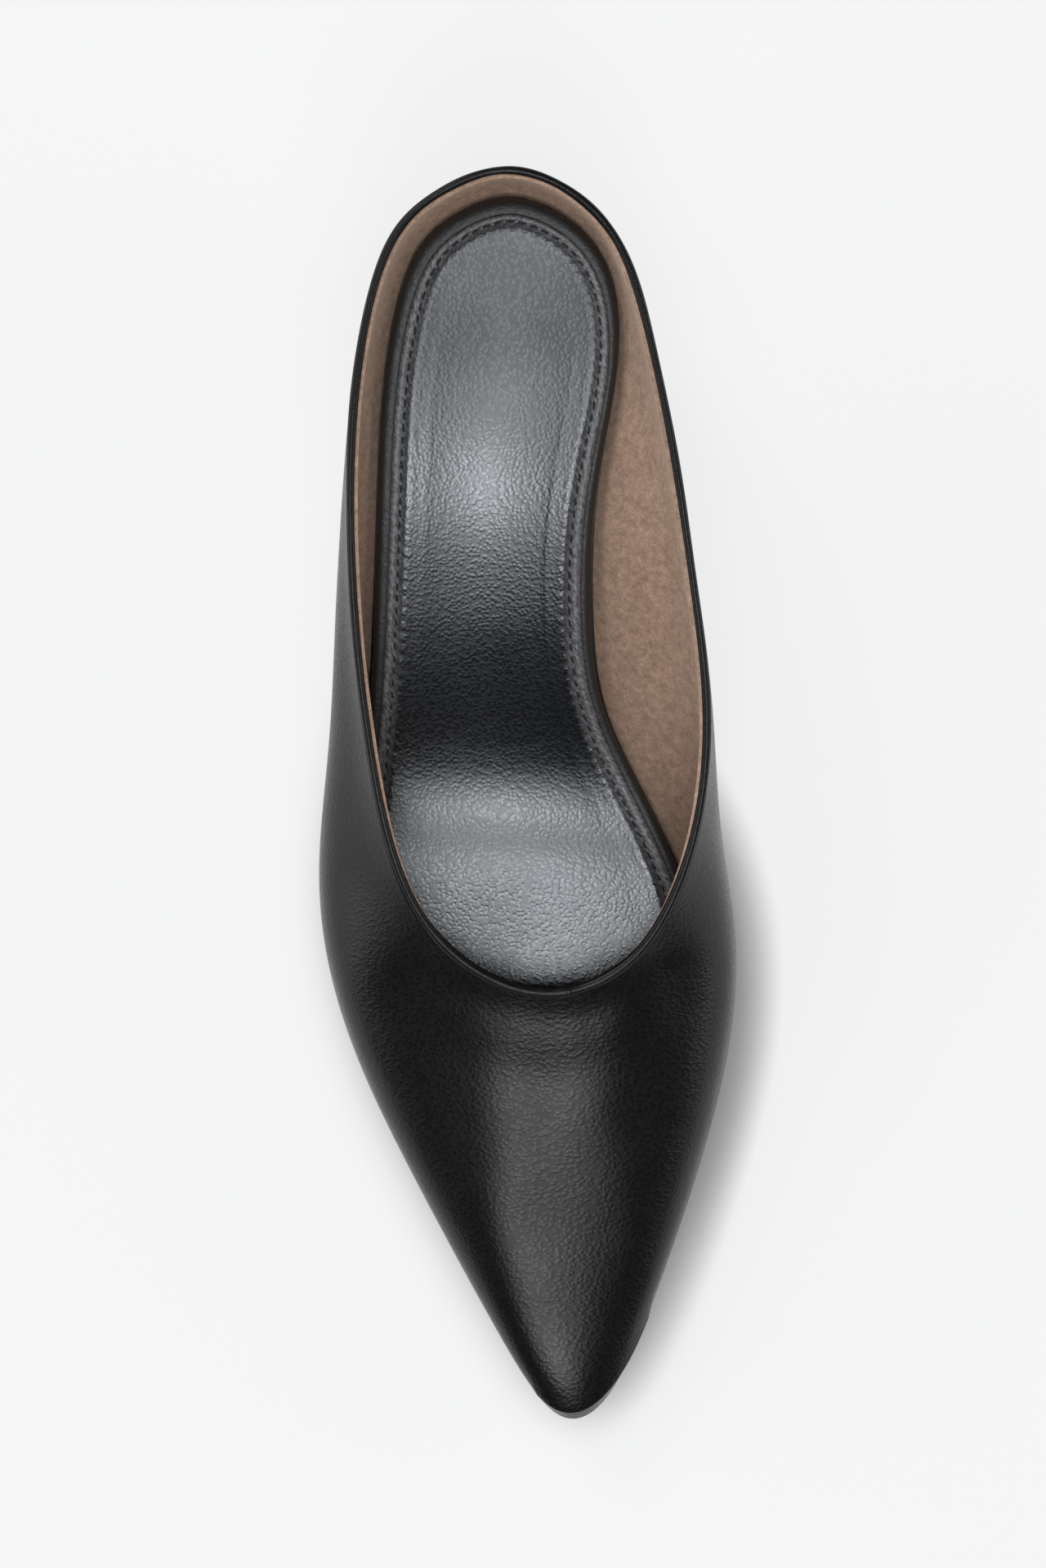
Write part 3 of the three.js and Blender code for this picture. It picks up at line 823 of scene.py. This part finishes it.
ring_points = [[add_point(place, j) for place in ring] for j, ring in enumerate(rings)]
for outer, inner in zip(ring_points[:-1], ring_points[1:]):
    for k in range(SOCK_POINTS):
        nxt = (k + 1) % SOCK_POINTS
        sock_mesh.faces.new((outer[k], inner[k], inner[nxt], outer[nxt]))
for ring, edge_points, flip, mark in (
    (rings[-1], ring_points[-1], False, len(rings)),
    (rings[0], ring_points[0], True, 0),
):
    net = net_inside(ring)
    rows, columns = net.shape[:2]
    if not flip:
        rim = spaced_out(ring[:, :2], RIM_SAMPLES)
        for row in net[1:-1]:
            for place in row[1:-1]:
                in_from_rim = np.hypot(*(rim - place[:2]).T).min()
                place[2] -= CENTRE_SINK * (1 - math.exp(-in_from_rim * RIM_SLOPE / CENTRE_SINK))
        for _ in range(DISH_PASSES):
            net[1:-1, 1:-1, 2] = (
                net[:-2, 1:-1, 2] + net[2:, 1:-1, 2] + net[1:-1, :-2, 2] + net[1:-1, 2:, 2]
            ) / 4
    half, corner = SOCK_POINTS // 2, SOCK_CORNER
    grid = [[None] * columns for _ in range(rows)]
    for i in range(columns):
        grid[0][i] = edge_points[(corner - i) % SOCK_POINTS]
        grid[-1][i] = edge_points[half - corner + i]
    for j in range(rows):
        grid[j][0] = edge_points[corner + j]
        grid[j][-1] = edge_points[(SOCK_POINTS - corner - j) % SOCK_POINTS]
    for j in range(1, rows - 1):
        for i in range(1, columns - 1):
            grid[j][i] = add_point(net[j, i], mark)
    for j in range(rows - 1):
        for i in range(columns - 1):
            corners = (grid[j][i], grid[j][i + 1], grid[j + 1][i + 1], grid[j + 1][i])
            sock_mesh.faces.new(corners[::-1] if flip else corners)
sock_mesh.normal_update()
sock_data = bpy.data.meshes.new("padded_sock")
sock_mesh.to_mesh(sock_data)
sock_mesh.free()
sock = bpy.data.objects.new("padded_sock", sock_data)
scene.collection.objects.link(sock)
finish_modifier(sock, "SUBSURF", levels=2, render_levels=2)

# The seam's own line, to gather the leather at every stitch and to lay the thread.
seam_flat = outline + inward * (band + border)[:, None]
seam_line = spaced_out(seam_flat, SEAM_SAMPLES)
seam_steps = np.hypot(*(np.roll(seam_line, -1, 0) - seam_line).T)
seam_length = seam_steps.sum()
stitch_count = int(round(seam_length / STITCH_PITCH))
seam_run = np.arange(len(seam_line)) / len(seam_line) * stitch_count
seam_tree = KDTree(len(seam_line))
for k, place in enumerate(seam_line):
    seam_tree.insert((*place, 0), k)
seam_tree.balance()

points = np.array([v.co for v in sock.data.vertices]) / MM
marks = np.array([d.value for d in sock.data.attributes["across"].data])
runs, offs = np.zeros(len(points)), np.zeros(len(points))
for k, place in enumerate(points):
    _, nearest, gap = seam_tree.find((place[0], place[1], 0))
    runs[k] = seam_run[nearest]
    offs[k] = gap if marks[k] > SEAM_RING else -gap
on_top = marks > TOP_MARK
hole = 0.5 + 0.5 * np.cos(2 * math.pi * runs)
gathers = np.cos(2 * math.pi * (runs + 0.16 * offs))
gathers = gathers + 0.5 * np.cos(2 * math.pi * (runs * 1.7 + 0.3 * offs))
# The dip at each needle hole, and the gathers on the pad's side and the border's side of it.
for shape, deep, off, reach in (
    (hole, 0.20, 0, 0.55),
    (gathers, 0.11, -0.9, 1.0),
    (gathers, 0.085, 1.1, 0.9),
):
    points[:, 2] -= on_top * deep * shape * np.exp(-(((offs - off) / reach) ** 2))

# Where the foot bends it, the cover has a few soft folds, and it sags a touch under the heel.
# Each fold: place along and across the shoe, half its length, depth and width, in mm.
on_pad = marks > PAD_MARK
for fold_y, fold_x, reach, depth, width in (
    (12.0, -6, 14, 0.016, 1.5),
    (8.0, 5, 11, 0.012, 1.7),
    (17.0, -9, 9, 0.014, 1.4),
    (2.5, -4, 10, 0.006, 1.6),
):
    line = fold_y + 0.05 * (points[:, 0] - fold_x) + 0.012 * (points[:, 0] - fold_x) ** 2
    fade = np.exp(-(((points[:, 0] - fold_x) / reach) ** 4))
    points[:, 2] -= on_pad * depth * fade * np.exp(-(((points[:, 1] - line) / width) ** 2))
HEEL_SAG = 0.35
points[:, 2] -= (
    on_pad
    * HEEL_SAG
    * np.exp(-(((points[:, 0] + 4) / 13) ** 2) - (((points[:, 1] - 95) / 15) ** 2))
)
arch_shift = ARCH_SHIFT * np.exp(-(((points[:, 1] - ARCH_Y) / ARCH_REACH) ** 2))
points[:, 2] += np.interp(points[:, 1] + arch_shift, fine_y, fine_height)
sock.data.vertices.foreach_set("co", (points * MM).ravel())
for name, values in (("seam_run", runs), ("seam_off", offs)):
    sock.data.attributes.new(name, "FLOAT", "POINT").data.foreach_set("value", values)
sock.data.update()
pick_up(sock)
bpy.ops.object.shade_smooth()

# The cover leather, with painted highlights on the crests of its border; and the dull, smoother
# leather of the side band.
CREST_HIGHLIGHT_COLOUR = (0.26, 0.268, 0.285, 1)
CREST_HEIGHT = 3.0
BORDER_ROUGH = 0.38
BAND_COLOUR = (0.011, 0.0112, 0.012, 1)
BAND_ROUGH = 0.5
HEEL_DULL = 0.13  # the heel's rubbed cover is this much rougher
cover = leather(
    "sock_cover",
    dark=(0.0038, 0.0045, 0.0062, 1),
    light=(0.007, 0.0081, 0.0106, 1),
    shine=(0.16, 0.22),
    finish=1.0,
    grain_cells=1280,
    grain_deep=0.022 * MM,
    wander=0.6,
)
tree = cover.node_tree
gloss = tree.nodes["Principled BSDF"]
relief = next(node for node in tree.nodes if node.type == "BUMP")
gloss.inputs["Specular Tint"].default_value = (0.91, 0.955, 1.0, 1)
where = add_node(tree, "ShaderNodeAttribute", attribute_name="across").outputs["Fac"]
off_seam = add_node(tree, "ShaderNodeAttribute", attribute_name="seam_off").outputs["Fac"]
run = add_node(tree, "ShaderNodeAttribute", attribute_name="seam_run").outputs["Fac"]
on_band = ramp(tree, where, 5.2, 6.0, 1.0, 0.0)
on_border = ramp(tree, off_seam, 0.2, 1.6, 1.0, 0.0, soft=True)
slant = figure(tree, "MULTIPLY_ADD", off_seam, 0.45, run)
streak_place = add_node(
    tree, "ShaderNodeCombineXYZ", {"X": figure(tree, "MULTIPLY", slant, 3.2), "Y": off_seam}
)
streaks = add_node(
    tree,
    "ShaderNodeTexNoise",
    {"Vector": streak_place.outputs[0], "Scale": 1.0, "Detail": 3.0, "Roughness": 0.7},
)
crests = ramp(tree, streaks.outputs["Fac"], 0.42, 0.68, 0.25, 1.0)
crests_with_painted_highlight = figure(tree, "MULTIPLY", crests, on_border)
pebbles_in = relief.inputs["Height"].links[0].from_socket
puckered = figure(tree, "MULTIPLY_ADD", crests_with_painted_highlight, CREST_HEIGHT, pebbles_in)
tree.links.new(puckered, relief.inputs["Height"])
colour_in = gloss.inputs["Base Color"].links[0].from_socket
# Painted highlight: the border's crests are coloured a light grey, standing in for light caught on
# its puckers.
border_with_painted_highlight = blend(tree, crests_with_painted_highlight, colour_in, CREST_HIGHLIGHT_COLOUR)
tree.links.new(blend(tree, on_band, border_with_painted_highlight, BAND_COLOUR), gloss.inputs["Base Color"])
rough_in = gloss.inputs["Roughness"].links[0].from_socket
along_shoe = add_node(
    tree,
    "ShaderNodeSeparateXYZ",
    {"Vector": add_node(tree, "ShaderNodeTexCoord").outputs["Object"]},
).outputs["Y"]
heel_dull = ramp(tree, along_shoe, 70 * MM, 98 * MM, 0.0, HEEL_DULL, soft=True)
rough = figure(tree, "ADD", rough_in, heel_dull)
for share, rough_there in ((on_border, BORDER_ROUGH), (on_band, BAND_ROUGH)):
    rough = add_node(
        tree, "ShaderNodeMix", {"Factor": share, "A": rough, "B": rough_there}, data_type="FLOAT"
    ).outputs["Result"]
tree.links.new(rough, gloss.inputs["Roughness"])
sock.data.materials.append(cover)
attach(sock, "root")
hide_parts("sock")

# ---------------------------------------------------------------------------
# Sock stitching: one black bonded thread, lockstitched by machine; each stitch
# is a short plump run that slants a little and dives into its needle holes.
# ---------------------------------------------------------------------------
THREAD_HALF = 0.24
STITCH_HALF = 0.90  # half a stitch's length
STITCH_DIVE = 0.28  # how far its ends go down into the holes
STITCH_SLANT = 8  # how far it turns off the seam, in degrees
STITCH_PROUD = 0.05 * MM
surface = BVHTree.FromPolygons(
    [v.co for v in sock.data.vertices], [p.vertices for p in sock.data.polygons]
)
bpy.ops.object.select_all(action="DESELECT")
bpy.ops.mesh.primitive_uv_sphere_add(segments=8, ring_count=7, radius=THREAD_HALF * MM)
one_stitch = bpy.context.active_object
for vertex in one_stitch.data.vertices:
    x, y, z = vertex.co / MM
    x = math.copysign(abs(x / THREAD_HALF) ** 0.7, x) * STITCH_HALF
    vertex.co = Vector((x, y, z - STITCH_DIVE * (abs(x) / STITCH_HALF) ** 3)) * MM
stitch_shape = np.array([v.co for v in one_stitch.data.vertices])
stitch_faces = [tuple(p.vertices) for p in one_stitch.data.polygons]
bpy.data.objects.remove(one_stitch)

all_points, all_faces = [], []
for n in range(stitch_count):
    k = int(((n + 0.5) / stitch_count) * len(seam_line)) % len(seam_line)
    here, ahead = seam_line[k], seam_line[(k + 8) % len(seam_line)]
    hit = surface.ray_cast(Vector((*(here * MM), shoe_high.z * 1.3)), Vector((0, 0, -1)))[0]
    if hit is None:
        continue
    slope = math.atan2(
        np.interp(ahead[1], fine_y, fine_height) - np.interp(here[1], fine_y, fine_height),
        math.hypot(*(ahead - here)),
    )
    heading = math.atan2(ahead[1] - here[1], ahead[0] - here[0]) + math.radians(STITCH_SLANT)
    turn = np.array(Matrix.Rotation(heading, 3, "Z") @ Matrix.Rotation(-slope, 3, "Y"))
    laid = stitch_shape @ turn.T + np.array(hit) + np.array((0, 0, STITCH_PROUD))
    start = len(all_points)
    all_points.extend(map(tuple, laid))
    all_faces.extend(tuple(start + i for i in face) for face in stitch_faces)
thread_mesh = bpy.data.meshes.new("sock_stitching")
thread_mesh.from_pydata(all_points, [], all_faces)
thread = bpy.data.objects.new("sock_stitching", thread_mesh)
scene.collection.objects.link(thread)
pick_up(thread)
bpy.ops.object.shade_smooth()
twist = bpy.data.materials.new("bonded_thread")
twist.use_nodes = True
tree = twist.node_tree
cord = tree.nodes["Principled BSDF"]
cord.inputs["Roughness"].default_value = 0.5
place = add_node(tree, "ShaderNodeTexCoord").outputs["Object"]
lay = add_node(
    tree,
    "ShaderNodeTexWave",
    {"Vector": place, "Scale": 1500.0, "Distortion": 1.0},
    bands_direction="DIAGONAL",
)
thread_tone = blend(tree, lay.outputs["Fac"], (0.006, 0.006, 0.007, 1), (0.022, 0.022, 0.025, 1))
tree.links.new(thread_tone, cord.inputs["Base Color"])
ply = add_node(
    tree, "ShaderNodeBump", {"Height": lay.outputs["Fac"], "Distance": 0.05 * MM, "Strength": 0.8}
)
tree.links.new(ply.outputs[0], cord.inputs["Normal"])
thread.data.materials.append(twist)
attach(thread, "root")

# ---------------------------------------------------------------------------
# Outsole: black leather cut to the last, its edge rounded and waxed. The upper
# is lasted over the insole and this sole is cemented on under it.
# ---------------------------------------------------------------------------
SOLE_EDGE_ANGLE = 40  # edges that turn by more are rounded off
SOLE_SMOOTH_ANGLE = 35

outsole = cut_from("outsole", "outsole_leather")
round_edges(outsole, 0.45 * MM, SOLE_EDGE_ANGLE)
bpy.ops.object.shade_smooth_by_angle(angle=math.radians(SOLE_SMOOTH_ANGLE))
outsole.data.materials.append(
    leather(
        "sole_leather",
        dark=(0.010, 0.0095, 0.009, 1),
        light=(0.020, 0.018, 0.016, 1),
        shine=(0.30, 0.52),
        grain_cells=2600,
        grain_deep=0.012 * MM,
    )
)
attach(outsole, "root")
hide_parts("outsole")

# ---------------------------------------------------------------------------
# Heel: a moulded core covered in the upper's leather, drawn tight and cemented,
# with its front face left flat under the waist.
# ---------------------------------------------------------------------------
heel = cut_from("heel", "heel_block")
round_edges(heel, 0.5 * MM, SOLE_EDGE_ANGLE)
bpy.ops.object.shade_smooth_by_angle(angle=math.radians(SOLE_SMOOTH_ANGLE))
heel.data.materials.append(
    leather(
        "heel_nappa",
        dark=(0.007, 0.007, 0.0075, 1),
        light=(0.012, 0.012, 0.0125, 1),
        shine=(0.36, 0.47),
        grain_cells=1600,
        grain_deep=0.025 * MM,
        stretch=(1.0, 1.0, 0.7),
    )
)
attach(heel, "root")
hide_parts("heel")

# ---------------------------------------------------------------------------
# Top lift: a small black rubber tip nailed under the heel, its edge trimmed.
# ---------------------------------------------------------------------------
top_lift = cut_from("top_lift", "top_lift_rubber")
round_edges(top_lift, 0.35 * MM, SOLE_EDGE_ANGLE)
bpy.ops.object.shade_smooth_by_angle(angle=math.radians(SOLE_SMOOTH_ANGLE))
top_lift.data.materials.append(
    leather(
        "lift_rubber",
        dark=(0.010, 0.010, 0.010, 1),
        light=(0.018, 0.017, 0.016, 1),
        shine=(0.55, 0.72),
        grain_cells=3200,
        grain_deep=0.008 * MM,
    )
)
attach(top_lift, "root")
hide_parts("top_lift")

# ---------------------------------------------------------------------------
# Insole: the fibre board that the upper is lasted round, hidden under the sock.
# ---------------------------------------------------------------------------
board = leather(
    "insole_board",
    dark=(0.045, 0.035, 0.028, 1),
    light=(0.075, 0.062, 0.052, 1),
    shine=(0.8, 0.95),
    grain_cells=2200,
    grain_deep=0.02 * MM,
)
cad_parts["insole"].material_slots[0].material = board
